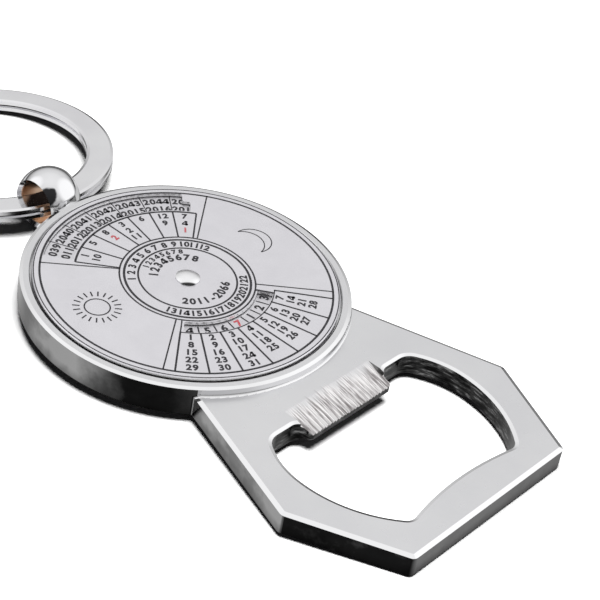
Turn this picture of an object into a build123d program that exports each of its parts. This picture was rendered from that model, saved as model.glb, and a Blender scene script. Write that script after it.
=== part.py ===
from build123d import *
import math
import os

# Metal keychain: a cast bottle opener whose round case holds a turning calendar disc,
# hung on a ball swivel and a two-turn split ring. Millimetres and degrees.
# The origin is on the dial's axis at the casting's flat underside.
# +X runs to the opener's end, +Z points out of the dial, the split ring is at -X.

# Casting: round case
case_radius = 18.75
case_floor_thickness = 3.0
rim_width = 1.15
rim_bevel_width = 0.4
rim_bevel_depth = 0.15
recess_edge_chamfer = 0.1

# Casting: opener plate, a hexagon that grows out of the case; lengths are counted from the case wall
opener_thickness = 2.8
opener_length = 25.5
widest_place = 12.85
widest_half_width = 18.55
end_half_width = 12.75
side_taper_angle = 18.0
widest_corner_radius = 0.9
end_corner_radius = 0.7
junction_radius = 0.3
top_bevel_width = 0.5
top_bevel_depth = 0.2
bottom_edge_chamfer = 0.25

# Casting: mouth that goes over the crown cap
neck_length = 4.55
lip_length = 1.95
lip_half_width = 6.6
lip_corner_radius = 0.5
notch_root_radius = 1.2
notch_corner_radius = 2.0
notch_half_width = 11.15
mouth_widest_place = 6.5
mouth_side_wall = 5.1
mouth_end_wall = 3.6
mouth_end_half_width = 8.8
mouth_end_bow = 1.0
mouth_corner_radius = 1.3
mouth_bevel_width = 0.4
mouth_bevel_depth = 0.15

# Casting: ramp to the lip, with gripping grooves that fade out at its top, and the relief beneath it
ramp_length = 3.8
ramp_side_margin = 0.25
ramp_drop = 0.8
groove_count = 25
groove_depth = 0.24
groove_start_height = 0.02
groove_width_share = 0.94
relief_length = 3.0
relief_height = 1.2

# Printed plate that lies still under the disc, and the film that holds it
adhesive_margin = 0.55
adhesive_thickness = 0.1
plate_side_clearance = 0.25
dial_plate_thickness = 0.5

# Turning disc and its two windows, angles counted from +X towards +Y
disc_side_clearance = 0.2
disc_thickness = 0.35
disc_proud = 0.3
disc_edge_chamfer = 0.1
year_window_margin = 1.0
year_window_width = 3.45
year_window_step_width = 1.5
year_window_start_angle = 133.4
year_window_step_angle = 137.1
year_window_end_angle = 218.6
day_window_inner_radius = 7.95
day_window_width = 1.8
day_window_start_angle = -48.0
day_window_end_angle = 36.3
window_corner_radius = 0.2

# Dished spring washer that keeps the disc where it is turned to
washer_play = 0.15
washer_outer_radius = 3.0
washer_thickness = 0.08
washer_height = 0.15

# Centre rivet: domed head, shank pressed into a blind hole in the case's floor
rivet_shank_radius = 0.9
rivet_head_radius = 1.4
rivet_head_height = 0.5
rivet_head_rim_height = 0.12
rivet_cover = 0.8
rivet_tip_chamfer = 0.2

# Split ring: flat wire in two turns, joined by a joggle on the side away from the ball
ring_outer_radius = 15.0
ring_wire_width = 3.2
ring_wire_thickness = 0.7
wire_bevel_width = 0.35
wire_bevel_depth = 0.12
ring_turn_gap = 0.16
joggle_middle_angle = 205.0
joggle_angle = 22.0
joggle_section_count = 7
wire_end_gap_angle = 2.0

# How the ring lies in the ball: it sinks in its hole, leans to the pin, droops and stands askew
ring_play = 0.77
ring_sink_share = 0.58
ring_lean_share = 0.39
ring_droop_angle = 4.7
ring_yaw_angle = 9.5

# Ball swivel and the boss that it turns against
ball_wall = 1.25
ball_facet_depth = 0.15
ball_hole_bevel = 0.45
boss_edge_margin = 0.4
boss_proud = 0.45

# Swivel pin: its head lies in the ball's wall, its shank is pressed into the case
pin_head_radius = 1.25
pin_head_thickness = 0.4
pin_head_edge_chamfer = 0.12
pin_shank_radius = 0.65
pin_depth = 4.5
pin_cover = 0.45
pin_tip_chamfer = 0.15

# Clearances between pieces
turning_clearance = 0.05
fixed_clearance = 0.01
face_clearance = 0.02
swivel_clearance = 0.08
overrun = 1.0

# Heights above the underside, worked up from the recess floor
recess_floor_z = case_floor_thickness
dial_plate_bottom_z = recess_floor_z + adhesive_thickness
dial_plate_top_z = dial_plate_bottom_z + dial_plate_thickness
disc_bottom_z = dial_plate_top_z + washer_height
disc_top_z = disc_bottom_z + disc_thickness
case_height = disc_top_z - disc_proud
rivet_head_z = disc_top_z + face_clearance

# Radii inside the case
recess_radius = case_radius - rim_width
dial_plate_radius = recess_radius - plate_side_clearance
adhesive_radius = dial_plate_radius - adhesive_margin
disc_radius = recess_radius - disc_side_clearance
year_window_outer_radius = disc_radius - year_window_margin
year_window_inner_radius = year_window_outer_radius - year_window_width
year_window_step_radius = year_window_outer_radius - year_window_step_width
day_window_outer_radius = day_window_inner_radius + day_window_width
washer_inner_radius = rivet_shank_radius + washer_play

# Places along the opener, and half widths of its mouth
end_reach = case_radius + opener_length
widest_reach = case_radius + widest_place
notch_reach = case_radius + neck_length
lip_reach = notch_reach + lip_length
ramp_start_reach = lip_reach - ramp_length
relief_start_reach = lip_reach - relief_length
mouth_widest_reach = notch_reach + mouth_widest_place
mouth_end_reach = end_reach - mouth_end_wall
mouth_half_width = widest_half_width - mouth_side_wall

# Ring and swivel places
ring_mean_radius = ring_outer_radius - ring_wire_width / 2
ring_layer_offset = (ring_wire_thickness + ring_turn_gap) / 2
ring_half_height = ring_layer_offset + ring_wire_thickness / 2
ring_section_radius = math.hypot(ring_wire_width / 2, ring_half_height)
ring_sink = ring_play * ring_sink_share
ring_lean = ring_play * ring_lean_share
ball_hole_radius = ring_section_radius + ring_play
ball_radius = ball_hole_radius + ball_wall
ball_facet_distance = ball_radius - ball_facet_depth
pin_seat_distance = ball_hole_radius + pin_head_thickness + turning_clearance
swivel_z = recess_floor_z - pin_cover - pin_shank_radius
boss_radius = swivel_z - boss_edge_margin
boss_face_x = -(case_radius + boss_proud)
ball_x = boss_face_x - swivel_clearance - ball_facet_distance
pin_seat_x = ball_x + pin_seat_distance
pin_tip_x = pin_depth - case_radius


def polar(radius, angle):
    """A point in the plan at a radius and an angle from +X."""
    return (radius * math.cos(math.radians(angle)), radius * math.sin(math.radians(angle)))


def cylinder_up(radius, low_z, high_z):
    """A cylinder on the dial's axis between two heights."""
    both_minimum = (Align.CENTER, Align.CENTER, Align.MIN)
    return Pos(0, 0, low_z) * Cylinder(radius, high_z - low_z, align=both_minimum)


def cylinder_along_x(radius, low_x, high_x):
    """A cylinder on the swivel's axis between two places along X."""
    start = Plane(origin=(low_x, 0, swivel_z), x_dir=(0, 1, 0), z_dir=(1, 0, 0))
    return extrude(start * Circle(radius), high_x - low_x)


def corners_near(sketch, points):
    """The sketch's corners that lie at the given points."""
    return [min(sketch.vertices(), key=lambda v: (v.X - x) ** 2 + (v.Y - y) ** 2) for x, y in points]


def both_sides(x, y):
    return [(x, y), (x, -y)]


def plate_outline():
    """The opener's plan: straight sides that widen from the case, then draw in to the end edge."""
    start_half_width = widest_half_width - widest_reach * math.tan(math.radians(side_taper_angle))
    outline = make_face(
        Polyline(
            (0, start_half_width),
            (widest_reach, widest_half_width),
            (end_reach, end_half_width),
            (end_reach, -end_half_width),
            (widest_reach, -widest_half_width),
            (0, -start_half_width),
            close=True,
        )
    )
    widest_corners = corners_near(outline, both_sides(widest_reach, widest_half_width))
    outline = fillet(widest_corners, widest_corner_radius)
    return fillet(corners_near(outline, both_sides(end_reach, end_half_width)), end_corner_radius)


def mouth_outline():
    """The mouth's plan: a lip between two notches, bulging sides and an end bowed towards the lip."""
    edges = []
    for side in (1, -1):
        lip_end = (lip_reach, side * lip_half_width)
        notch_root = (notch_reach, side * lip_half_width)
        notch_end = (notch_reach, side * notch_half_width)
        widest = (mouth_widest_reach, side * mouth_half_width)
        mouth_end = (mouth_end_reach, side * mouth_end_half_width)
        edges.append(Line((lip_reach, 0), lip_end))
        edges.append(Line(lip_end, notch_root))
        edges.append(Line(notch_root, notch_end))
        edges.append(TangentArc(widest, notch_end, tangent=(-1, 0)))
        edges.append(TangentArc(widest, mouth_end, tangent=(1, 0)))
    end_corners = both_sides(mouth_end_reach, mouth_end_half_width)
    edges.append(ThreePointArc(end_corners[0], (mouth_end_reach - mouth_end_bow, 0), end_corners[1]))
    outline = make_face(edges)
    rounds = [
        (both_sides(lip_reach, lip_half_width), lip_corner_radius),
        (both_sides(notch_reach, lip_half_width), notch_root_radius),
        (both_sides(notch_reach, notch_half_width), notch_corner_radius),
        (end_corners, mouth_corner_radius),
    ]
    for points, radius in rounds:
        outline = fillet(corners_near(outline, points), radius)
    return outline


def opener_ramp():
    """The wedge that is cut away above the ramp, from the plate's face down to the lip's edge."""
    slope = ramp_drop / (lip_reach - ramp_start_reach)
    far_x = lip_reach + overrun
    far_z = opener_thickness - slope * (far_x - ramp_start_reach)
    high_z = opener_thickness + overrun
    side = Plane.XZ * make_face(
        Polyline(
            (ramp_start_reach, opener_thickness),
            (far_x, far_z),
            (far_x, high_z),
            (ramp_start_reach, high_z),
            close=True,
        )
    )
    return extrude(side, lip_half_width + ramp_side_margin, both=True)


def lip_relief():
    """The wedge that is cut away beneath the lip, so that its edge is thin enough to go under a cap."""
    far_x = lip_reach + overrun
    far_z = relief_height * (far_x - relief_start_reach) / relief_length
    side = Plane.XZ * make_face(
        Polyline(
            (relief_start_reach, 0),
            (far_x, far_z),
            (far_x, -overrun),
            (relief_start_reach, -overrun),
            close=True,
        )
    )
    return extrude(side, lip_half_width + ramp_side_margin, both=True)


def lip_grooves():
    """V grooves that run down the ramp, from nothing near its top to their full depth at the lip."""
    run = lip_reach - ramp_start_reach
    direction = Vector(run, 0, -(ramp_drop + groove_depth + groove_start_height))
    start_z = opener_thickness + groove_start_height
    length = direction.length + overrun
    pitch = 2 * lip_half_width / groove_count
    half_width = overrun * groove_width_share * pitch / (2 * groove_depth)
    grooves = []
    for number in range(groove_count):
        y = (number + 0.5) * pitch - lip_half_width
        start = Plane(origin=(ramp_start_reach, y, start_z), x_dir=(0, 1, 0), z_dir=(1, 0, 0))
        section = make_face(Polyline((0, 0), (half_width, overrun), (-half_width, overrun), close=True))
        grooves.append(extrude(start * section, length, dir=direction.normalized()))
    return grooves


def edges_at_height(shape, z):
    """The edges that lie level at a height."""
    levels = [(e, e.bounding_box().min.Z, e.bounding_box().max.Z) for e in shape.edges()]
    return [e for e, low, high in levels if abs(low - z) < fixed_clearance and abs(high - z) < fixed_clearance]


def bevel(edges, top_face, width, depth):
    """A bevel that is wider in plan than it is deep, along edges of a level top face."""
    return chamfer(edges, width, depth, reference=top_face)


def make_opener_plate():
    """The hexagonal plate with its mouth, both bevelled along the top."""
    plate = extrude(plate_outline(), opener_thickness)
    top = plate.faces().sort_by(Axis.Z)[-1]
    plate = bevel(top.edges(), top, top_bevel_width, top_bevel_depth)
    plate -= extrude(mouth_outline(), opener_thickness)
    top = plate.faces().sort_by(Axis.Z)[-1]
    return bevel(top.inner_wires()[0].edges(), top, mouth_bevel_width, mouth_bevel_depth)


def junction_edges(body):
    """The edges in the corner between the case's wall and the plate, from the underside up and over."""
    edges = []
    for edge in body.edges():
        points = [edge.position_at(share) for share in (0, 0.5, 1)]
        on_wall = all(abs(math.hypot(p.X, p.Y) - case_radius) < fixed_clearance for p in points)
        if on_wall and fixed_clearance < points[1].Z < opener_thickness + fixed_clearance:
            edges.append(edge)
    return edges


def make_opener_body():
    """The zinc casting: case and opener plate in one piece."""
    case = cylinder_up(case_radius, 0, case_height)
    rim = case.faces().sort_by(Axis.Z)[-1]
    case = bevel(rim.edges(), rim, rim_bevel_width, rim_bevel_depth)
    body = make_opener_plate() + case
    body = fillet(junction_edges(body), junction_radius)
    body = chamfer(edges_at_height(body, 0), bottom_edge_chamfer)

    body -= opener_ramp()
    body -= lip_grooves()
    body -= lip_relief()
    body -= cylinder_up(recess_radius, recess_floor_z, case_height + overrun)
    rim_edges = sorted(edges_at_height(body, case_height), key=lambda e: e.length)
    body = chamfer(rim_edges[0], recess_edge_chamfer)
    body += cylinder_along_x(boss_radius, boss_face_x, -(case_radius + recess_radius) / 2)

    body -= cylinder_up(rivet_shank_radius + fixed_clearance, rivet_cover, case_height)
    body -= cylinder_along_x(pin_shank_radius + fixed_clearance, boss_face_x - overrun, pin_tip_x)
    return body


def make_centre_rivet():
    """Domed head over the disc, shank down through every layer into the case's floor."""
    rim_z = rivet_head_z + rivet_head_rim_height
    top_z = rivet_head_z + rivet_head_height
    tip_radius = rivet_shank_radius - rivet_tip_chamfer
    dome_height = top_z - rim_z
    dome_radius = (rivet_head_radius**2 + dome_height**2) / (2 * dome_height)
    half_angle = math.asin(rivet_head_radius / dome_radius) / 2
    dome_middle = (dome_radius * math.sin(half_angle), top_z - dome_radius * (1 - math.cos(half_angle)))
    corners = [
        (0, top_z),
        (0, rivet_cover),
        (tip_radius, rivet_cover),
        (rivet_shank_radius, rivet_cover + rivet_tip_chamfer),
        (rivet_shank_radius, rivet_head_z),
        (rivet_head_radius, rivet_head_z),
        (rivet_head_radius, rim_z),
    ]
    side = make_face([Polyline(*corners), ThreePointArc(corners[-1], dome_middle, corners[0])])
    return revolve(Plane.XZ * side, Axis.Z)


def make_plate_adhesive():
    film = cylinder_up(adhesive_radius, recess_floor_z, dial_plate_bottom_z)
    return film - cylinder_up(rivet_shank_radius + turning_clearance, recess_floor_z, dial_plate_bottom_z)


def make_calendar_plate():
    plate = cylinder_up(dial_plate_radius, dial_plate_bottom_z, dial_plate_top_z)
    return plate - cylinder_up(rivet_shank_radius + turning_clearance, 0, disc_top_z)


def arc_band(inner_radius, outer_radius, start_angle, end_angle):
    """A band between two radii and two angles, in the plan."""
    middle_angle = (start_angle + end_angle) / 2
    corners = [
        polar(inner_radius, start_angle),
        polar(outer_radius, start_angle),
        polar(outer_radius, end_angle),
        polar(inner_radius, end_angle),
    ]
    return make_face(
        [
            Line(corners[0], corners[1]),
            ThreePointArc(corners[1], polar(outer_radius, middle_angle), corners[2]),
            Line(corners[2], corners[3]),
            ThreePointArc(corners[3], polar(inner_radius, middle_angle), corners[0]),
        ]
    )


def disc_windows():
    """Arc windows for the years, stepped at one end, and for the weekdays."""
    years = arc_band(
        year_window_inner_radius, year_window_outer_radius, year_window_step_angle, year_window_end_angle
    )
    step = arc_band(
        year_window_inner_radius, year_window_step_radius, year_window_start_angle, year_window_step_angle
    )
    days = arc_band(
        day_window_inner_radius, day_window_outer_radius, day_window_start_angle, day_window_end_angle
    )
    windows = [years + step, days]
    return [fillet(window.vertices(), window_corner_radius) for window in windows]


def make_calendar_disc():
    """The turning disc, a little proud of the rim so that a fingertip can turn it."""
    disc = cylinder_up(disc_radius, disc_bottom_z, disc_top_z)
    disc = chamfer(edges_at_height(disc, disc_top_z), disc_edge_chamfer)
    for window in disc_windows():
        disc -= extrude(Pos(0, 0, disc_bottom_z) * window, disc_thickness)
    return disc - cylinder_up(rivet_shank_radius + turning_clearance, disc_bottom_z, disc_top_z)


def make_friction_washer():
    """A dished washer: its outer edge stands on the printed plate, its inner edge bears on the disc."""
    low_z = dial_plate_top_z
    high_z = disc_bottom_z - face_clearance
    side = Plane.XZ * make_face(
        Polyline(
            (washer_outer_radius, low_z),
            (washer_outer_radius, low_z + washer_thickness),
            (washer_inner_radius, high_z),
            (washer_inner_radius, high_z - washer_thickness),
            close=True,
        )
    )
    return revolve(side, Axis.Z)


def make_swivel_ball():
    """A ball with a wide cross hole for the ring, and a stepped bore for the pin it turns on."""
    mouth_radius = ball_hole_radius + ball_hole_bevel
    mouth_y = math.sqrt(ball_radius**2 - mouth_radius**2)
    edges = [
        Line((ball_hole_radius, ball_hole_bevel - mouth_y), (ball_hole_radius, mouth_y - ball_hole_bevel)),
        ThreePointArc((mouth_radius, -mouth_y), (ball_radius, 0), (mouth_radius, mouth_y)),
    ]
    for side in (1, -1):
        hole_end = (ball_hole_radius, side * (mouth_y - ball_hole_bevel))
        edges.append(Line(hole_end, (mouth_radius, side * mouth_y)))
    ball = Pos(ball_x, 0, swivel_z) * revolve(make_face(edges), Axis.Y)

    facet_x = ball_x + ball_facet_distance
    ball -= cylinder_along_x(ball_radius, facet_x, facet_x + overrun)
    ball -= cylinder_along_x(pin_head_radius + turning_clearance, ball_x, pin_seat_x)
    return ball - cylinder_along_x(pin_shank_radius + turning_clearance, ball_x, facet_x + overrun)


def make_swivel_pin():
    """A headed pin: the ball turns on its shank and can't pass its head."""
    head_x = pin_seat_x - turning_clearance
    head = cylinder_along_x(pin_head_radius, head_x - pin_head_thickness, head_x)
    head = chamfer(head.edges().group_by(Axis.X)[0], pin_head_edge_chamfer)
    shank = cylinder_along_x(pin_shank_radius, head_x, pin_tip_x)
    shank = chamfer(shank.edges().group_by(Axis.X)[-1], pin_tip_chamfer)
    return head + shank


def wire_section(angle, z):
    """The ring's flat wire with its bevelled edges, cut square across at an angle round the ring."""
    x, y = polar(ring_mean_radius, angle)
    outward_x, outward_y = polar(1, angle)
    across = Plane(origin=(x, y, z), x_dir=(outward_x, outward_y, 0), z_dir=(-outward_y, outward_x, 0))
    side, top = ring_wire_width / 2, ring_wire_thickness / 2
    flat, wall = side - wire_bevel_width, top - wire_bevel_depth
    upper = [(-side, wall), (-flat, top), (flat, top), (side, wall)]
    lower = [(side, -wall), (flat, -top), (-flat, -top), (-side, -wall)]
    return across * make_face(Polyline(*upper, *lower, close=True))


def make_split_ring():
    """Two flat turns and the joggle between them, built level and then laid as the ring hangs."""
    joggle_start = joggle_middle_angle - joggle_angle / 2
    joggle_end = joggle_middle_angle + joggle_angle / 2
    layer_angle = 360 - joggle_angle - wire_end_gap_angle
    upper = revolve(
        wire_section(joggle_start - layer_angle, ring_layer_offset), Axis.Z, revolution_arc=layer_angle
    )
    lower = revolve(wire_section(joggle_end, -ring_layer_offset), Axis.Z, revolution_arc=layer_angle)
    sections = []
    for number in range(joggle_section_count):
        share = number / (joggle_section_count - 1)
        z = ring_layer_offset * math.cos(math.pi * share)
        sections.append(wire_section(joggle_start + share * joggle_angle, z))
    ring = upper + loft(sections) + lower
    print("split ring: gap between the turns", round(2 * ring_layer_offset - ring_wire_thickness, 3))
    at_ball = Pos(ball_x, 0, swivel_z) * Rot(0, -ring_droop_angle, 0) * Rot(0, 0, -ring_yaw_angle)
    return at_ball * Pos(ring_lean - ring_mean_radius, 0, -ring_sink) * ring


PIECES = {
    "opener_body": make_opener_body,
    "plate_adhesive": make_plate_adhesive,
    "calendar_plate": make_calendar_plate,
    "friction_washer": make_friction_washer,
    "calendar_disc": make_calendar_disc,
    "centre_rivet": make_centre_rivet,
    "swivel_pin": make_swivel_pin,
    "swivel_ball": make_swivel_ball,
    "split_ring": make_split_ring,
}

os.makedirs("parts", exist_ok=True)
for name, make in PIECES.items():
    export_step(make(), os.path.join("parts", name + ".step"))
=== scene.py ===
import math

import bpy
from mathutils import Matrix, Vector


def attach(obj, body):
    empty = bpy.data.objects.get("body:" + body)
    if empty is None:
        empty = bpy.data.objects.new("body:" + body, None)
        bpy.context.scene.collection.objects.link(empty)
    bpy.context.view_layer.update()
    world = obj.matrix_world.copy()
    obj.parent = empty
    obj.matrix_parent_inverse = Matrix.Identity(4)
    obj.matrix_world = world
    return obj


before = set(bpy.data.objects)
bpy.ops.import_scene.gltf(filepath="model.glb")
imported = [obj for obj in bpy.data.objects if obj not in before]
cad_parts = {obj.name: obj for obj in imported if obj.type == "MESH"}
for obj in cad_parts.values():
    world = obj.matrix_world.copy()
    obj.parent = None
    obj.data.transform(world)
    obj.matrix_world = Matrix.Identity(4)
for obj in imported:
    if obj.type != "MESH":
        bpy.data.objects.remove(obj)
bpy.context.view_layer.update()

MM = 0.001

# The camera, fitted to the photograph: place and lens in millimetres, clipping in metres
CAMERA_PLACE = (110.24, -133.06, 133.68)
CAMERA_BACK = (0.4627, -0.6515, 0.6012)
CAMERA_RIGHT = (0.7346, 0.6614, 0.1514)
LENS = 115.29
SENSOR_WIDTH = 36
CLIP_START = 0.001
CLIP_END = 20

# What metal sees of the world: tones from straight down to straight up, the horizon at 0.5
WORLD_HEIGHTS = [
    (0.0, 0.03), (0.51, 0.03), (0.55, 0.20), (0.60, 0.48), (0.68, 0.72),
    (0.74, 0.82), (0.80, 0.85), (0.88, 0.95), (1.0, 1.0),
]
# The share of those tones that is left, from the far side to the photographer's side
WORLD_SIDES = [(0.0, 1.0), (0.5, 1.0), (0.8, 0.9), (1.0, 0.8)]
PHOTOGRAPHER_SIDE = (0.58, -0.815, 0)
# Two soft boxes: azimuth, elevation, where each starts and is full as a cosine, strength
SOFT_BOXES = [(50, 28, 0.74, 0.88, 1.2), (-145, 38, 0.84, 0.94, 1.2)]
WORLD_FILL = (0.006, 0.006, 0.0065)
WHITE = (1.0, 1.0, 1.0)

# The lamp, which metal doesn't mirror: millimetres, degrees and watts
LAMP_AIM = (8, 0, 0)
LAMP_AZIMUTH = -50
LAMP_ELEVATION = 82
LAMP_DISTANCE = 320
LAMP_SIZE = 190
LAMP_POWER = 0.9

# The paper: X and Z under the ring's end, under the ball and under the opener's end, in millimetres
FLOOR_LINE = [(-50.8, -1.68), (-22.93, -1.93), (44.0, -0.02)]
FLOOR_REACH = 1500
FLOOR_COLOUR = (0.05, 0.05, 0.05)
FLOOR_SEEN = 2.0
# Metal sees the paper brighter by the ring than by the opener. The tone changes between two places
# along X, on a ramp of this length that has its middle at X = 0.
FLOOR_BY_RING = 1.2
FLOOR_BY_OPENER = 0.85
FLOOR_CHANGE = (-30, -23)
FLOOR_CHANGE_SPAN = 100

# Places on the object, millimetres, in the frame of the CAD model
DISC_TOP = 4.1
PLATE_TOP = 3.6
RIVET_RADIUS = 1.4
BALL_CENTRE = (-22.93, 0.0, 1.9)
RING_CENTRE = (-35.770, 2.162, 0.396)
# The ball's hole, picked a little wide and too short to reach the plated outside
BALL_HOLE_RADIUS = 2.62
BALL_HOLE_HALF_LENGTH = 2.4
# The length of the ramp that the hole's painted shade lies on, its middle at the ball's centre
HOLE_SHADE_SPAN = 4
# Lowest and highest corners of boxes that pick the lip's ramp, the mouth's walls with their painted
# reflections, and the case's wall where it stands over the opener's top and takes a painted reflection of it
RAMP_BOX = ((21.0, -6.84, 1.7), (25.3, 6.84, 2.82))
MOUTH_BOX = ((22.9, -13.7, -0.5), (41.2, 13.7, 2.9))
STEP_BOX = ((12.0, -12.5, 2.75), (20.0, 12.5, 4.0))
# The grip's streaks fade in between two places along X, which wander by this much in all
GRIP_START = 21.1
GRIP_FULL = 22.9
GRIP_WANDER = 2.4
# The height over the underside that the painted shade of the walls is counted in
WALL_SHADE_HEIGHT = 4

# Directions in which painted tones lie, as unit vectors: a painted reflection on the ball, painted shade in
# its hole, and a painted shadow on the rivet
BALL_REFLECTION_SPOT_DIRECTION = (0.554, -0.580, 0.598)
BALL_HOLE_SHADE_DIRECTION = (-0.4963, 0.3716, 0.7846)
RIVET_SHADOW_AZIMUTH = -42

# How noise turns into soft patches of two tones
PATCHES = [(0.35, 0.0), (0.65, 1.0)]
# The dark tone of the painted reflections on rounded rims and of the rivet's painted shadow
PAINTED_DARK_TONE = (0.05, 0.05, 0.05)


def toned(degrees, tone):
    """A stop of painted reflection for walls that face an azimuth."""
    return (degrees / 360 + 0.5, tone)


# Painted reflections on the casting's walls, by the azimuth that a wall faces
WALL_REFLECTION_TONES = [
    toned(-180, 0.9), toned(-146, 1.0), toned(-134, 0.12), toned(-122, 0.09), toned(-108, 0.40),
    toned(-84, 0.45), toned(-74, 0.16), toned(-66, 0.01), toned(-50, 0.01), toned(-20, 0.15),
    toned(20, 0.16), toned(60, 0.10), toned(180, 0.3),
]

# The print's height over its sheet, in millimetres
INK = 0.012
# How much bolder than the font the figures are, and the drawn four's strokes, in the font's own units
FIGURE_WEIGHT = 0.042
STROKE_WIDTH = 0.135
# Degrees times millimetres of arc for each straight piece, with small arcs counted as this radius
ARC_STEP = 22
SMALL_ARC_RADIUS = 2

# Full circles of the dial: radius and line width
CIRCLES = [(16.54, 0.25), (7.69, 0.20), (7.16, 0.28), (5.59, 0.22), (17.21, 0.12)]

# Years and weekdays, each in 28 sectors of the plate. A border is an inner and an outer radius and a width.
YEAR_COUNT = 28
SECTOR = 360 / YEAR_COUNT
FIRST_YEAR = 2011
FIRST_YEAR_ANGLE = 213.0
YEAR_HEIGHT = 1.08
# For each row of years: years after the first row, radius and pitch
YEAR_ROWS = [(0, 13.95, 0.70), (YEAR_COUNT, 15.45, 0.74)]
YEAR_BORDER = (12.9, 16.45, 0.13)
WEEKDAY_RADIUS = 8.82
WEEKDAY_HEIGHT = 1.15
WEEKDAY_SHIFT = 3
WEEKDAY_BORDER = (8.1, 9.7, 0.17)

# Months, counted from the sun's side: the numbers in each sector, and the one that is printed in red
MONTH_SECTORS = [
    ([1, 10], None), ([5], None), ([8, 2], 2), ([3, 2, 11], None),
    ([6], None), ([12, 9], None), ([7, 4, 1], 1),
]
MONTH_ANGLES = (130.1, 219.4)
MONTH_INNER = 7.7
MONTH_OUTER = 12.7
MONTH_SKEW = 0.6
MONTH_OUTER_WIDTH = 0.26
MONTH_BORDER_WIDTH = 0.20
MONTH_FIRST_ROW = 11.85
MONTH_ROW_STEP = 1.35
MONTH_HEIGHT = 0.98

# Dates: seven columns, their first row nearest the hub
WEEK = 7
LAST_DATE = 31
DATE_COLUMNS = [-43.6 + SECTOR * k for k in range(WEEK)]
DATE_BORDER = (9.78, 16.5, 0.22)
DATE_FIRST_ROW = 10.55
DATE_ROW_STEP = 1.27
DATE_HEIGHT = 1.0
# The weekday window's frame: an arc by radius, two angles and width, and spokes by angle, two radii and width
DAY_FRAME_ARC = (9.86, -50.0, 40.0, 0.14)
DAY_FRAME_SPOKES = [(36.9, 7.75, 9.8, 0.30), (-50.0, 7.75, 9.8, 0.16)]

# Borders of the sun's and the moon's fields
FIELD_BORDERS = [
    ((-12.03, -11.42), (-5.79, -4.98)),
    ((-9.97, 13.35), (-4.68, 6.31)),
    ((5.39, 5.38), (11.72, 11.54)),
    ((4.47, -6.33), (9.60, -13.45)),
]
FIELD_BORDER_WIDTH = 0.17

# Numbers in the hub: the first, how many, radius, the first's angle, step, height, top outward, pitch
HUB_NUMBERS = [
    (1, 12, 6.37, 235, -10.7, 0.98, True, 0.66),
    (13, 10, 6.37, -62, 12.6, 0.98, False, 0.70),
    (1, 8, 4.93, 208, -9.1, 0.80, True, 0.72),
    (1, 8, 3.85, 224, -14.6, 1.12, True, 0.72),
]
# The span of the years: text, radius, angle, height, top outward, pitch
HUB_SPAN = ("2011-2066", 4.25, -5, 1.1, False, 0.74)

SUN_CENTRE = (-2.28, -11.77)
SUN_RADIUS = 1.42
SUN_WIDTH = 0.16
RAY_COUNT = 20
RAY_START_ANGLE = 9
RAY_ENDS = (1.92, 2.72)
RAY_WIDTH = 0.17

# The moon's outline: its tips, and the middle of each of its two arcs
MOON_TIPS = ((-2.74, 11.14), (1.64, 10.44))
MOON_MIDDLES = ((0.93, 12.98), (0.42, 12.15))
MOON_WIDTH = 0.13


def mm(point):
    return Vector(point) * MM


def direction(azimuth, elevation):
    """A unit vector towards an azimuth and an elevation in degrees."""
    turn, rise = math.radians(azimuth), math.radians(elevation)
    return Vector((math.cos(turn) * math.cos(rise), math.sin(turn) * math.cos(rise), math.sin(rise)))


def polar(radius, angle):
    """A point on the dial at a radius and an angle from +X."""
    return (radius * math.cos(math.radians(angle)), radius * math.sin(math.radians(angle)))


# Nodes

# Sockets of Blender's Mix node, which has a pair for numbers and a pair for colours
MIX_SHARE = 0
MIX_NUMBERS = (2, 3)
MIX_COLOURS = (6, 7)
MIXED_NUMBER = 0
MIXED_COLOUR = 2


def math_node(tree, operation, *values, clamp=False):
    node = tree.nodes.new("ShaderNodeMath")
    node.operation = operation
    node.use_clamp = clamp
    for number, value in enumerate(values):
        if isinstance(value, (int, float)):
            node.inputs[number].default_value = value
        else:
            tree.links.new(value, node.inputs[number])
    return node.outputs[0]


def vector_node(tree, operation, vector, fixed):
    node = tree.nodes.new("ShaderNodeVectorMath")
    node.operation = operation
    tree.links.new(vector, node.inputs[0])
    node.inputs[1].default_value = fixed
    return node.outputs


def dot(tree, vector, fixed):
    return vector_node(tree, "DOT_PRODUCT", vector, fixed)["Value"]


def from_centre(tree, place, centre):
    return vector_node(tree, "SUBTRACT", place, mm(centre))["Vector"]


def split_node(tree, vector):
    node = tree.nodes.new("ShaderNodeSeparateXYZ")
    tree.links.new(vector, node.inputs[0])
    return node.outputs


def squares_sum(tree, first, second):
    return math_node(tree, "ADD", math_node(tree, "POWER", first, 2), math_node(tree, "POWER", second, 2))


def ramp_node(tree, value, stops):
    """A colour ramp, its stops given as places with a tone or a colour."""
    node = tree.nodes.new("ShaderNodeValToRGB")
    ramp = node.color_ramp
    while len(ramp.elements) < len(stops):
        ramp.elements.new(0.5)
    for element, (place, colour) in zip(ramp.elements, stops):
        element.position = place
        element.color = (*colour, 1) if isinstance(colour, tuple) else (colour, colour, colour, 1)
    tree.links.new(value, node.inputs[0])
    return node.outputs[0]


def smooth_step(tree, value, low, high):
    node = tree.nodes.new("ShaderNodeMapRange")
    node.interpolation_type = "SMOOTHSTEP"
    node.inputs["From Min"].default_value = low
    node.inputs["From Max"].default_value = high
    tree.links.new(value, node.inputs["Value"])
    return node.outputs[0]


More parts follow.
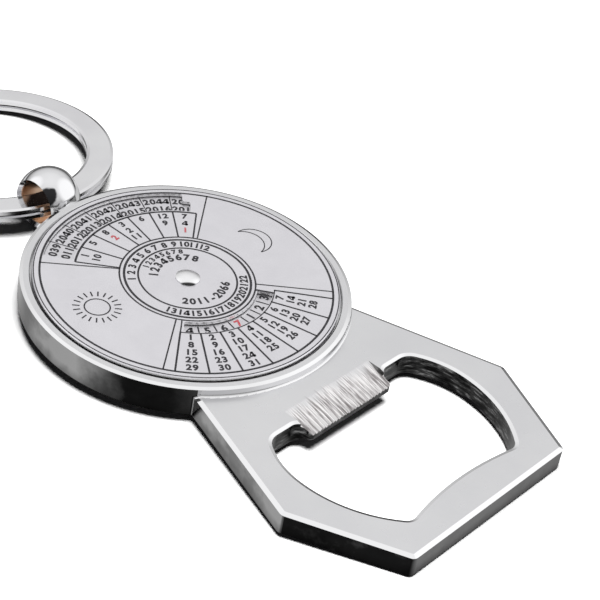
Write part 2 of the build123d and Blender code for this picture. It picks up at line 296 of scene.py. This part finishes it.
def mix_colour(tree, share, first, second, blend="MIX"):
    node = tree.nodes.new("ShaderNodeMix")
    node.data_type = "RGBA"
    node.blend_type = blend
    for number, value in zip((MIX_SHARE, *MIX_COLOURS), (share, first, second)):
        socket = node.inputs[number]
        if isinstance(value, tuple):
            socket.default_value = (*value, 1)
        elif isinstance(value, (int, float)):
            socket.default_value = value
        else:
            tree.links.new(value, socket)
    return node.outputs[MIXED_COLOUR]


def mix_number(tree, share, first, second):
    node = tree.nodes.new("ShaderNodeMix")
    for number, value in zip((MIX_SHARE, *MIX_NUMBERS), (share, first, second)):
        tree.links.new(value, node.inputs[number])
    return node.outputs[MIXED_NUMBER]


def object_place(tree):
    return tree.nodes.new("ShaderNodeTexCoord").outputs["Object"]


def object_normal(tree):
    return tree.nodes.new("ShaderNodeTexCoord").outputs["Normal"]


def noise(tree, place, scale, detail=3, roughness=0.5):
    node = tree.nodes.new("ShaderNodeTexNoise")
    node.inputs["Scale"].default_value = scale
    node.inputs["Detail"].default_value = detail
    node.inputs["Roughness"].default_value = roughness
    tree.links.new(place, node.inputs["Vector"])
    return node.outputs["Fac"]


def stretched(tree, place, scales, turn=(0, 0, 0)):
    node = tree.nodes.new("ShaderNodeMapping")
    node.inputs["Scale"].default_value = scales
    node.inputs["Rotation"].default_value = turn
    tree.links.new(place, node.inputs["Vector"])
    return node.outputs[0]


def seen_share(tree):
    """One where the eye sees a surface straight or through glass."""
    path = tree.nodes.new("ShaderNodeLightPath").outputs
    return math_node(tree, "MAXIMUM", path["Is Camera Ray"], path["Is Transmission Ray"])


def glossy_share(tree):
    """One for what metal shows to the eye, nought for light that metal throws on the paper."""
    path = tree.nodes.new("ShaderNodeLightPath").outputs
    first_hand = math_node(tree, "SUBTRACT", 1.0, path["Diffuse Depth"], clamp=True)
    return math_node(tree, "MULTIPLY", path["Is Glossy Ray"], first_hand)


def box_share(tree, place, low, high):
    """One inside a box, given in millimetres."""
    along = split_node(tree, place)
    share = None
    for axis, first, last in zip("XYZ", low, high):
        over = math_node(tree, "GREATER_THAN", along[axis], first * MM)
        under = math_node(tree, "LESS_THAN", along[axis], last * MM)
        both = math_node(tree, "MULTIPLY", over, under)
        share = both if share is None else math_node(tree, "MULTIPLY", share, both)
    return share


def level_share(tree, low, high):
    """One on faces that look up or down, nought on walls."""
    upright = math_node(tree, "ABSOLUTE", split_node(tree, object_normal(tree))["Z"])
    return smooth_step(tree, upright, low, high)


# Stage

def set_camera():
    data = bpy.data.cameras.new("camera")
    data.sensor_fit = "HORIZONTAL"
    data.sensor_width = SENSOR_WIDTH
    data.lens = LENS
    data.clip_start = CLIP_START
    data.clip_end = CLIP_END
    camera = bpy.data.objects.new("camera", data)
    bpy.context.collection.objects.link(camera)
    back = Vector(CAMERA_BACK).normalized()
    right = Vector(CAMERA_RIGHT)
    right = (right - right.dot(back) * back).normalized()
    up = back.cross(right)
    turn = Matrix((right, up, back)).transposed()
    camera.matrix_world = Matrix.Translation(mm(CAMERA_PLACE)) @ turn.to_4x4()
    bpy.context.scene.camera = camera


def set_world():
    """White behind the object, little fill, and for metal a dark ground under a bright ceiling."""
    world = bpy.data.worlds.new("world")
    bpy.context.scene.world = world
    world.use_nodes = True
    tree = world.node_tree
    tree.nodes.clear()
    place = tree.nodes.new("ShaderNodeTexCoord").outputs["Generated"]
    height = math_node(tree, "MULTIPLY_ADD", split_node(tree, place)["Z"], 0.5, 0.5)
    ceiling = ramp_node(tree, height, WORLD_HEIGHTS)
    side = math_node(tree, "MULTIPLY_ADD", dot(tree, place, PHOTOGRAPHER_SIDE), 0.5, 0.5)
    in_metal = mix_colour(tree, 1, ceiling, ramp_node(tree, side, WORLD_SIDES), "MULTIPLY")
    for azimuth, elevation, first, last, tone in SOFT_BOXES:
        toward = dot(tree, place, direction(azimuth, elevation))
        share = ramp_node(tree, toward, [(first, 0.0), (last, 1.0)])
        in_metal = mix_colour(tree, share, in_metal, (tone, tone, tone))
    lighting = mix_colour(tree, glossy_share(tree), WORLD_FILL, in_metal)
    background = tree.nodes.new("ShaderNodeBackground")
    tree.links.new(mix_colour(tree, seen_share(tree), lighting, WHITE), background.inputs["Color"])
    output = tree.nodes.new("ShaderNodeOutputWorld")
    tree.links.new(background.outputs[0], output.inputs["Surface"])


def floor_points():
    """The paper's corners: its two planes go on from the line's two slopes."""
    (ring_x, ring_z), (ball_x, ball_z), (end_x, end_z) = FLOOR_LINE
    ring_slope = (ring_z - ball_z) / (ring_x - ball_x)
    end_slope = (end_z - ball_z) / (end_x - ball_x)
    line = [
        (-FLOOR_REACH, ball_z + ring_slope * (-FLOOR_REACH - ball_x)),
        (ball_x, ball_z),
        (FLOOR_REACH, ball_z + end_slope * (FLOOR_REACH - ball_x)),
    ]
    return [mm((x, y, z)) for x, z in line for y in (-FLOOR_REACH, FLOOR_REACH)]


def floor_paper():
    material, tree, shader = new_material("floor_paper")
    shader.inputs["Roughness"].default_value = 1
    shader.inputs["Specular IOR Level"].default_value = 0
    along = split_node(tree, object_place(tree))
    share = math_node(tree, "MULTIPLY_ADD", along["X"], 1 / (FLOOR_CHANGE_SPAN * MM), 0.5)
    start, end = [place / FLOOR_CHANGE_SPAN + 0.5 for place in FLOOR_CHANGE]
    in_metal = ramp_node(tree, share, [(start, FLOOR_BY_RING), (end, FLOOR_BY_OPENER)])
    colour = mix_colour(tree, glossy_share(tree), FLOOR_COLOUR, in_metal)
    # To the eye the paper is evenly white: it makes up for the lamp's distance
    distance = squares_sum(tree, along["X"], along["Y"])
    fall = math_node(tree, "MULTIPLY_ADD", distance, 1 / (LAMP_DISTANCE * MM) ** 2, 1.0)
    white = math_node(tree, "MULTIPLY", math_node(tree, "POWER", fall, 2), FLOOR_SEEN)
    paint(tree, shader, mix_colour(tree, seen_share(tree), colour, white))
    return material


def add_floor():
    """White paper that the ring's end, the ball's underside and the opener's end rest on."""
    mesh = bpy.data.meshes.new("floor")
    mesh.from_pydata(floor_points(), [], [(0, 2, 3, 1), (2, 4, 5, 3)])
    floor = bpy.data.objects.new("floor", mesh)
    bpy.context.collection.objects.link(floor)
    mesh.materials.append(floor_paper())


def add_lamp():
    data = bpy.data.lights.new("key", "AREA")
    data.shape = "DISK"
    data.size = LAMP_SIZE * MM
    data.energy = LAMP_POWER
    lamp = bpy.data.objects.new("key", data)
    bpy.context.collection.objects.link(lamp)
    toward = direction(LAMP_AZIMUTH, LAMP_ELEVATION)
    lamp.location = mm(LAMP_AIM) + toward * LAMP_DISTANCE * MM
    lamp.rotation_euler = toward.to_track_quat("Z", "Y").to_euler()
    lamp.visible_glossy = False


# Materials

def new_material(name):
    material = bpy.data.materials.new(name)
    material.use_nodes = True
    tree = material.node_tree
    return material, tree, tree.nodes["Principled BSDF"]


def paint(tree, shader, colour):
    tree.links.new(colour, shader.inputs["Base Color"])


def painted(shader):
    """What the base colour comes from so far."""
    return shader.inputs["Base Color"].links[0].from_socket


def set_gloss(tree, shader, value, spread, least):
    """Roughness that varies with a value."""
    tree.links.new(math_node(tree, "MULTIPLY_ADD", value, spread, least), shader.inputs["Roughness"])


def bump(tree, shader, height, distance):
    node = tree.nodes.new("ShaderNodeBump")
    node.inputs["Distance"].default_value = distance
    node.inputs["Strength"].default_value = 1
    tree.links.new(height, node.inputs["Height"])
    tree.links.new(node.outputs[0], shader.inputs["Normal"])


def darken_rims(tree, shader, low=0.62, high=0.74):
    """Painted reflection: rounded surfaces turn dark where the viewer sees them edge-on. Flat tops don't."""
    weight = tree.nodes.new("ShaderNodeLayerWeight")
    weight.inputs["Blend"].default_value = 0.5
    turned_away = ramp_node(tree, weight.outputs["Facing"], [(low, 0.0), (high, 1.0)])
    rounded = math_node(tree, "SUBTRACT", 1.0, level_share(tree, low=0.965, high=0.99))
    share = math_node(tree, "MULTIPLY", turned_away, rounded)
    paint(tree, shader, mix_colour(tree, share, painted(shader), PAINTED_DARK_TONE))


def metal(name, pale, dark, roughness, grain, patch=220, grain_scale=7000, spread=0.06):
    """Polished or satin metal: patchy tone, patchy gloss and a fine grain."""
    material, tree, shader = new_material(name)
    place = object_place(tree)
    patches = ramp_node(tree, noise(tree, place, scale=patch, detail=4), PATCHES)
    paint(tree, shader, mix_colour(tree, patches, dark, pale))
    shader.inputs["Metallic"].default_value = 1
    fine = noise(tree, place, scale=patch * 6, detail=5, roughness=0.65)
    set_gloss(tree, shader, fine, spread=2 * spread, least=roughness - spread)
    bump(tree, shader, noise(tree, place, scale=grain_scale, detail=2), grain)
    return material, tree, shader


def zinc_top(tree, place, upright):
    """Plate with painted highlights on its bevels and a worn grip with dark streaks."""
    patches = ramp_node(tree, noise(tree, place, scale=130, detail=4), PATCHES)
    plate = mix_colour(tree, patches, (0.72, 0.72, 0.735), (0.76, 0.76, 0.77))
    # Painted highlight: the bevels are lighter than the flat top
    bevel_highlight = ramp_node(tree, upright, [(0.78, 0.0), (0.88, 1.0), (0.95, 1.0), (0.975, 0.0)])
    plate = mix_colour(tree, bevel_highlight, plate, (0.87, 0.87, 0.88))
    # Dark streaks run along the gripping grooves, with bright bare crests, fading in towards the lip
    streaks = noise(tree, stretched(tree, place, (300, 4200, 300)), scale=1, detail=3, roughness=0.6)
    dark_streak, worn_plate, bare = (0.30, 0.28, 0.28), (0.66, 0.635, 0.64), (0.96, 0.94, 0.94)
    worn = ramp_node(tree, streaks, [(0.36, dark_streak), (0.46, worn_plate), (0.56, bare)])
    uneven = noise(tree, stretched(tree, place, (60, 1500, 60)), scale=1, detail=2)
    along = math_node(tree, "SUBTRACT", split_node(tree, place)["X"], GRIP_WANDER / 2 * MM)
    along = math_node(tree, "MULTIPLY_ADD", uneven, GRIP_WANDER * MM, along)
    reached = smooth_step(tree, along, GRIP_START * MM, GRIP_FULL * MM)
    gripped = math_node(tree, "MULTIPLY", box_share(tree, place, *RAMP_BOX), reached)
    return mix_colour(tree, gripped, plate, worn)


def zinc_walls(tree, place, facing, top):
    """Painted reflections: tones by the way that a wall faces, for what stands round the object."""
    azimuth = math_node(tree, "ARCTAN2", facing["Y"], facing["X"])
    share = math_node(tree, "MULTIPLY_ADD", azimuth, 0.5 / math.pi, 0.5)
    cloudy = noise(tree, place, scale=420, detail=4, roughness=0.6)
    share = math_node(tree, "ADD", share, math_node(tree, "MULTIPLY_ADD", cloudy, 0.03, -0.015))
    tone = ramp_node(tree, share, WALL_REFLECTION_TONES)
    # Painted shade: darker towards the table, with dull clouds
    rise = math_node(tree, "MULTIPLY", split_node(tree, place)["Z"], 1 / (WALL_SHADE_HEIGHT * MM))
    painted_low_shade = ramp_node(tree, rise, [(0.0, 0.45), (0.42, 1.0)])
    clouds = noise(tree, place, scale=190, detail=4, roughness=0.6)
    shade = math_node(tree, "MULTIPLY", painted_low_shade, ramp_node(tree, clouds, [(0.40, 0.55), (0.60, 1.1)]))
    tone = mix_colour(tree, shade, (0.0, 0.0, 0.0), tone)
    # Painted reflections: the mouth's walls are dark with upright streaks
    streaks = noise(tree, stretched(tree, place, (500, 500, 2600)), scale=1, detail=4, roughness=0.7)
    inner = ramp_node(tree, streaks, [(0.42, 0.006), (0.56, 0.05), (0.70, 0.32)])
    tone = mix_colour(tree, box_share(tree, place, *MOUTH_BOX), tone, inner)
    # Painted reflection: above the opener the case's wall takes the opener's top colour, as if it mirrored it
    return mix_colour(tree, box_share(tree, place, *STEP_BOX), tone, top)


def plated_zinc():
    """The casting: satin tops and polished walls."""
    material, tree, shader = new_material("plated_zinc")
    place = object_place(tree)
    facing = split_node(tree, object_normal(tree))
    upright = math_node(tree, "ABSOLUTE", facing["Z"])
    top = zinc_top(tree, place, upright)
    walls = zinc_walls(tree, place, facing, top)
    steep = ramp_node(tree, upright, [(0.35, 1.0), (0.75, 0.0)])
    paint(tree, shader, mix_colour(tree, steep, top, walls))
    darken_rims(tree, shader)
    shader.inputs["Metallic"].default_value = 1
    fine = noise(tree, place, scale=900, detail=5, roughness=0.65)
    satin = math_node(tree, "MULTIPLY_ADD", fine, 0.10, 0.24)
    polished = math_node(tree, "MULTIPLY_ADD", fine, 0.08, 0.05)
    level = level_share(tree, low=0.965, high=0.998)
    tree.links.new(mix_number(tree, level, polished, satin), shader.inputs["Roughness"])
    grain = noise(tree, place, scale=6000, detail=2)
    rubs = noise(tree, stretched(tree, place, (120, 3200, 3200), turn=(0, 0, 0.35)), scale=1, detail=3)
    bump(tree, shader, math_node(tree, "MULTIPLY_ADD", rubs, 0.5, grain), 1.2e-6)
    return material


def printed_sheet(name, patch, dark, pale, metallic, least_roughness, cut_edges=None):
    """Pale speckled sheet that carries the print. Its cut edges may have a tone of their own."""
    material, tree, shader = new_material(name)
    place = object_place(tree)
    patches = ramp_node(tree, noise(tree, place, scale=patch, detail=5, roughness=0.6), PATCHES)
    face = mix_colour(tree, patches, dark, pale)
    if cut_edges:
        cut = math_node(tree, "SUBTRACT", 1.0, level_share(tree, low=0.3, high=0.7))
        face = mix_colour(tree, cut, face, cut_edges)
    paint(tree, shader, face)
    shader.inputs["Metallic"].default_value = metallic
    speckle = noise(tree, place, scale=3500, detail=4, roughness=0.7)
    set_gloss(tree, shader, speckle, spread=0.16, least=least_roughness)
    bump(tree, shader, speckle, 2.0e-6)
    return material


def dial_sheet():
    """The disc: its cut edges are bare and bright."""
    return printed_sheet(
        "dial_sheet", patch=260, dark=(0.775, 0.765, 0.80), pale=(0.815, 0.805, 0.84),
        metallic=0.85, least_roughness=0.28, cut_edges=(0.98, 0.98, 0.98),
    )


def printed_plate():
    return printed_sheet(
        "printed_plate", patch=300, dark=(0.72, 0.71, 0.745), pale=(0.78, 0.77, 0.80),
        metallic=0.8, least_roughness=0.30,
    )


def adhesive_film():
    return metal("adhesive_film", (0.62, 0.58, 0.48), (0.50, 0.46, 0.38), roughness=0.5, grain=1e-6)[0]


def spring_steel():
    return metal("spring_steel", (0.62, 0.61, 0.60), (0.50, 0.49, 0.48), roughness=0.28, grain=8e-7)[0]


def pin_metal():
    return metal(
        "pin_metal", (0.80, 0.79, 0.78), (0.70, 0.69, 0.68), roughness=0.22, grain=6e-7, patch=500,
    )[0]


def ink(name, dark, pale):
    material, tree, shader = new_material(name)
    wear = noise(tree, object_place(tree), scale=2600, detail=4, roughness=0.7)
    paint(tree, shader, mix_colour(tree, ramp_node(tree, wear, [(0.4, 0.0), (0.75, 1.0)]), dark, pale))
    shader.inputs["Roughness"].default_value = 0.45
    shader.inputs["Specular IOR Level"].default_value = 0.35
    bump(tree, shader, wear, 1.0e-6)
    return material


def ball_hole(tree, place, centre):
    """One inside the ball's cross hole, and the hole's own colour: stained brass with painted shade at its
    top.
    """
    along = split_node(tree, centre)
    squares = squares_sum(tree, along["X"], along["Z"])
    near_axis = math_node(tree, "LESS_THAN", squares, (BALL_HOLE_RADIUS * MM) ** 2)
    depth = math_node(tree, "ABSOLUTE", along["Y"])
    deep = math_node(tree, "LESS_THAN", depth, BALL_HOLE_HALF_LENGTH * MM)
    inside = math_node(tree, "MULTIPLY", near_axis, deep)
    brown, brass = (0.80, 0.50, 0.33), (0.97, 0.72, 0.53)
    stains = ramp_node(tree, noise(tree, place, scale=700, detail=4), [(0.3, brown), (0.7, brass)])
    rise = dot(tree, centre, BALL_HOLE_SHADE_DIRECTION)
    height = math_node(tree, "MULTIPLY_ADD", rise, 1 / (HOLE_SHADE_SPAN * MM), 0.5)
    # Painted shade: the hole's top turns near black
    hole_shade = ramp_node(tree, height, [(0.78, 0.0), (0.92, 1.0)])
    return inside, mix_colour(tree, hole_shade, stains, (0.02, 0.014, 0.012))


def ball_metal():
    """Bright plate outside with a painted dark reflection spot, bare brass in the cross hole."""
    material, tree, shader = metal(
        "ball_metal", (0.82, 0.82, 0.83), (0.78, 0.78, 0.795), roughness=0.075, grain=4e-7,
        patch=200, grain_scale=5000, spread=0.02,
    )
    place = object_place(tree)
    turned = dot(tree, object_normal(tree), BALL_REFLECTION_SPOT_DIRECTION)
    ragged = math_node(tree, "MULTIPLY_ADD", noise(tree, place, scale=900, detail=3), 0.05, turned)
    reflection_spot = ramp_node(tree, ragged, [(0.978, 0.0), (0.992, 1.0)])
    # Painted reflection: a dark ragged spot on the ball
    plate = mix_colour(tree, reflection_spot, painted(shader), (0.03, 0.03, 0.032))
    inside, hole = ball_hole(tree, place, from_centre(tree, place, BALL_CENTRE))
    paint(tree, shader, mix_colour(tree, inside, plate, hole))
    darken_rims(tree, shader, low=0.66, high=0.72)
    gloss = shader.inputs["Roughness"].links[0].from_socket
    tree.links.new(math_node(tree, "MULTIPLY_ADD", inside, 0.25, gloss), shader.inputs["Roughness"])
    return material


def ring_steel():
    """Drawn flat wire: fine lines that run round the ring."""
    material, tree, shader = new_material("ring_steel")
    place = object_place(tree)
    along = split_node(tree, from_centre(tree, place, RING_CENTRE))
    across = math_node(tree, "SQRT", squares_sum(tree, along["X"], along["Y"]))
    around = math_node(tree, "ARCTAN2", along["Y"], along["X"])
    join = tree.nodes.new("ShaderNodeCombineXYZ")
    for axis, value, density in (("X", across, 9000), ("Y", around, 5), ("Z", along["Z"], 3000)):
        tree.links.new(math_node(tree, "MULTIPLY", value, density), join.inputs[axis])
    lines = noise(tree, join.outputs[0], scale=1, detail=3)
    patches = ramp_node(tree, noise(tree, place, scale=150, detail=4), PATCHES)
    paint(tree, shader, mix_colour(tree, patches, (0.79, 0.785, 0.805), (0.85, 0.85, 0.86)))
    shader.inputs["Metallic"].default_value = 1
    set_gloss(tree, shader, lines, spread=0.12, least=0.08)
    darken_rims(tree, shader)
    bump(tree, shader, lines, 6e-7)
    return material


def rivet_metal():
    """A dome with a painted shadow under its near edge."""
    material, tree, shader = metal(
        "rivet_metal", (0.90, 0.90, 0.91), (0.85, 0.85, 0.86), roughness=0.30, grain=6e-7, patch=500,
    )
    toward = dot(tree, object_place(tree), direction(RIVET_SHADOW_AZIMUTH, 0))
    toward = math_node(tree, "MULTIPLY", toward, 1 / (RIVET_RADIUS * MM))
    share = ramp_node(tree, toward, [(0.78, 0.0), (0.88, 1.0)])
    # Painted shadow: the dome's near edge turns dark
    paint(tree, shader, mix_colour(tree, share, painted(shader), PAINTED_DARK_TONE))
    return material


def dress(node, material):
    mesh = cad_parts[node].data
    mesh.materials.clear()
    mesh.materials.append(material)


# The print

def drawn_four(width):
    """A four from three strokes, so that its counter stays open when it is bold."""
    tall, foot, bar, left, right = 0.70, 0.43, 0.17, 0.02, 0.60
    bar_share, slant_share = 0.9, 0.2
    half = width / 2
    low, high, slant_low = bar - half * bar_share, bar + half * bar_share, bar - half * slant_share
    strokes = [
        [(foot - half, 0), (foot + half, 0), (foot + half, tall), (foot - half, tall)],
        [(left, low), (right, low), (right, high), (left, high)],
        [(left, high), (left, slant_low), (foot + half, tall), (foot - half, tall)],
    ]
    points = [point for stroke in strokes for point in stroke]
    return points, [(0, 1, 2, 3), (4, 5, 6, 7), (8, 9, 10, 11)]


def font_figure(char, weight):
    """A figure of Blender's own font as flat points and faces."""
    curve = bpy.data.curves.new("figure", "FONT")
    curve.body = char
    curve.resolution_u = 3
    curve.offset = weight
    source = bpy.data.objects.new("figure", curve)
    bpy.context.collection.objects.link(source)
    graph = bpy.context.evaluated_depsgraph_get()
    mesh = bpy.data.meshes.new_from_object(source.evaluated_get(graph))
    points = [(corner.co.x, corner.co.y) for corner in mesh.vertices]
    faces = [tuple(face.vertices) for face in mesh.polygons]
    bpy.data.objects.remove(source)
    bpy.data.curves.remove(curve)
    bpy.data.meshes.remove(mesh)
    return points, faces


def make_glyphs(weight):
    """The ten figures and a dash as flat faces, one unit tall, centred."""
    glyphs = {char: font_figure(char, weight) for char in "0123456789-"}
    glyphs["4"] = drawn_four(STROKE_WIDTH + 2 * weight)
    zero = glyphs["0"][0]
    low, high = min(y for _, y in zero), max(y for _, y in zero)
    tall = high - low
    for char, (points, faces) in glyphs.items():
        middle = (min(x for x, _ in points) + max(x for x, _ in points)) / 2
        glyphs[char] = ([((x - middle) / tall, (y - low) / tall - 0.5) for x, y in points], faces)
    return glyphs


class Print:
    """Flat ink shapes at one height, gathered into one mesh."""

    def __init__(self, z):
        self.z = z + INK
        self.points = []
        self.faces = []

    def add(self, points, faces):
        start = len(self.points)
        self.points += [mm((x, y, self.z)) for x, y in points]
        self.faces += [tuple(start + i for i in face) for face in faces]

    def line(self, first, second, width):
        first, second = Vector(first), Vector(second)
        along = (second - first).normalized()
        side = Vector((-along.y, along.x)) * width / 2
        self.add([first - side, second - side, second + side, first + side], [(0, 1, 2, 3)])

    def arc(self, radius, start, end, width, centre=(0, 0)):
        count = max(2, round(abs(end - start) * max(radius, SMALL_ARC_RADIUS) / ARC_STEP))
        points = []
        for number in range(count + 1):
            angle = math.radians(start + (end - start) * number / count)
            for reach in (radius - width / 2, radius + width / 2):
                points.append((centre[0] + reach * math.cos(angle), centre[1] + reach * math.sin(angle)))
        faces = [(2 * i, 2 * i + 1, 2 * i + 3, 2 * i + 2) for i in range(count)]
        if end < start:
            faces = [face[::-1] for face in faces]
        self.add(points, faces)

    def spoke(self, angle, inner, outer, width, skew=0):
        """A straight line away from the hub, its outer end turned by a skew."""
        self.line(polar(inner, angle), polar(outer, angle + skew), width)

    def number(self, text, radius, angle, height, outward, pitch=0.72):
        """A number set round the dial, its top outward or towards the hub."""
        turn = -1 if outward else 1
        for place, char in enumerate(text):
            step = (place - (len(text) - 1) / 2) * height * pitch
            at = math.radians(angle) + turn * step / radius
            up = Vector((math.cos(at), math.sin(at)))
            centre = up * radius
            up = up if outward else -up
            right = Vector((up.y, -up.x))
            points, faces = GLYPHS[char]
            self.add([centre + right * x * height + up * y * height for x, y in points], faces)

    def finish(self, name, body, slot, material):
        mesh = bpy.data.meshes.new(name)
        mesh.from_pydata(self.points, [], self.faces)
        mesh.update()
        mesh.materials.append(material)
        piece = bpy.data.objects.new(name, mesh)
        bpy.context.collection.objects.link(piece)
        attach(piece, body)


def print_months(black, red):
    """Seven sectors, their numbers in rows that start at the outer edge."""
    first, last = MONTH_ANGLES
    count = len(MONTH_SECTORS)
    black.arc(MONTH_OUTER, first, last + MONTH_SKEW, MONTH_OUTER_WIDTH)
    for number in range(count + 1):
        angle = last - number * (last - first) / count
        skew = MONTH_SKEW if number == 0 else 0
        black.spoke(angle, MONTH_INNER, MONTH_OUTER, MONTH_BORDER_WIDTH, skew)
    for number, (months, marked) in enumerate(MONTH_SECTORS):
        angle = last - (number + 0.5) * (last - first) / count
        for row, month in enumerate(months):
            sheet = red if month == marked else black
            sheet.number(str(month), MONTH_FIRST_ROW - MONTH_ROW_STEP * row, angle, MONTH_HEIGHT, True)


def print_dates(black):
    """Seven columns of dates, and the weekday window's frame between them and the hub."""
    for number in range(WEEK + 1):
        black.spoke(DATE_COLUMNS[0] - SECTOR / 2 + SECTOR * number, *DATE_BORDER)
    for column, angle in enumerate(DATE_COLUMNS):
        for row, day in enumerate(range(column + 1, LAST_DATE + 1, WEEK)):
            black.number(str(day), DATE_FIRST_ROW + DATE_ROW_STEP * row, angle, DATE_HEIGHT, False)
    black.arc(*DAY_FRAME_ARC)
    for spoke in DAY_FRAME_SPOKES:
        black.spoke(*spoke)


def print_hub(black):
    """Arcs of plain numbers in the hub's ring and inside it."""
    for first, count, radius, start, step, height, outward, pitch in HUB_NUMBERS:
        for number in range(count):
            black.number(str(first + number), radius, start + number * step, height, outward, pitch)
    black.number(*HUB_SPAN)


def print_sun(black):
    black.arc(SUN_RADIUS, 0, 360, SUN_WIDTH, SUN_CENTRE)
    for number in range(RAY_COUNT):
        angle = RAY_START_ANGLE + 360 / RAY_COUNT * number
        reaches = [polar(reach, angle) for reach in RAY_ENDS]
        ends = [(SUN_CENTRE[0] + x, SUN_CENTRE[1] + y) for x, y in reaches]
        black.line(*ends, RAY_WIDTH)


def circle_through(first, middle, last):
    """Centre, radius and the two end angles of the arc through three points."""
    (ax, ay), (bx, by), (cx, cy) = first, middle, last
    a, b, c = ax * ax + ay * ay, bx * bx + by * by, cx * cx + cy * cy
    divisor = 2 * (ax * (by - cy) + bx * (cy - ay) + cx * (ay - by))
    x = (a * (by - cy) + b * (cy - ay) + c * (ay - by)) / divisor
    y = (a * (cx - bx) + b * (ax - cx) + c * (bx - ax)) / divisor
    start, through, end = [math.degrees(math.atan2(py - y, px - x)) for px, py in (first, middle, last)]
    while through > start:
        through -= 360
    while end > through:
        end -= 360
    return (x, y), math.hypot(ax - x, ay - y), start, end


def print_moon(black):
    for middle in MOON_MIDDLES:
        centre, radius, start, end = circle_through(MOON_TIPS[0], middle, MOON_TIPS[1])
        black.arc(radius, start, end, MOON_WIDTH, centre)


def print_dial(ink_black, ink_red):
    black, red = Print(DISC_TOP), Print(DISC_TOP)
    for radius, width in CIRCLES:
        black.arc(radius, 0, 360, width)
    print_months(black, red)
    for first, last in FIELD_BORDERS:
        black.line(first, last, FIELD_BORDER_WIDTH)
    print_dates(black)
    print_hub(black)
    print_sun(black)
    print_moon(black)
    black.finish("dial_print_black", "disc", "dial_sheet", ink_black)
    red.finish("dial_print_red", "disc", "dial_sheet", ink_red)


def print_plate(ink_black, ink_red):
    """Years for one window of the disc and weekdays for the other, all the way round."""
    black, red = Print(PLATE_TOP), Print(PLATE_TOP)
    for number in range(YEAR_COUNT):
        angle = FIRST_YEAR_ANGLE - SECTOR * number
        for later, radius, pitch in YEAR_ROWS:
            black.number(str(FIRST_YEAR + later + number), radius, angle, YEAR_HEIGHT, True, pitch)
        black.spoke(angle - SECTOR / 2, *YEAR_BORDER)
        day = (number + WEEKDAY_SHIFT) % WEEK + 1
        day_angle = DATE_COLUMNS[0] + SECTOR * number
        sheet = red if day == WEEK else black
        sheet.number(str(day), WEEKDAY_RADIUS, day_angle, WEEKDAY_HEIGHT, False)
        black.spoke(day_angle - SECTOR / 2, *WEEKDAY_BORDER)
    black.finish("plate_print_black", "casting", "dial_sheet", ink_black)
    red.finish("plate_print_red", "casting", "dial_sheet", ink_red)


# The scene

bpy.context.scene.view_settings.view_transform = "Standard"
set_camera()
set_world()
add_floor()
add_lamp()

dress("opener_body", plated_zinc())
dress("calendar_disc", dial_sheet())
dress("calendar_plate", printed_plate())
dress("plate_adhesive", adhesive_film())
dress("friction_washer", spring_steel())
dress("centre_rivet", rivet_metal())
dress("swivel_ball", ball_metal())
dress("swivel_pin", pin_metal())
dress("split_ring", ring_steel())

GLYPHS = make_glyphs(FIGURE_WEIGHT)
INK_BLACK = ink("ink_black", dark=(0.018, 0.017, 0.020), pale=(0.06, 0.058, 0.066))
INK_RED = ink("ink_red", dark=(0.62, 0.10, 0.12), pale=(0.75, 0.28, 0.30))
print_dial(INK_BLACK, INK_RED)
print_plate(INK_BLACK, INK_RED)
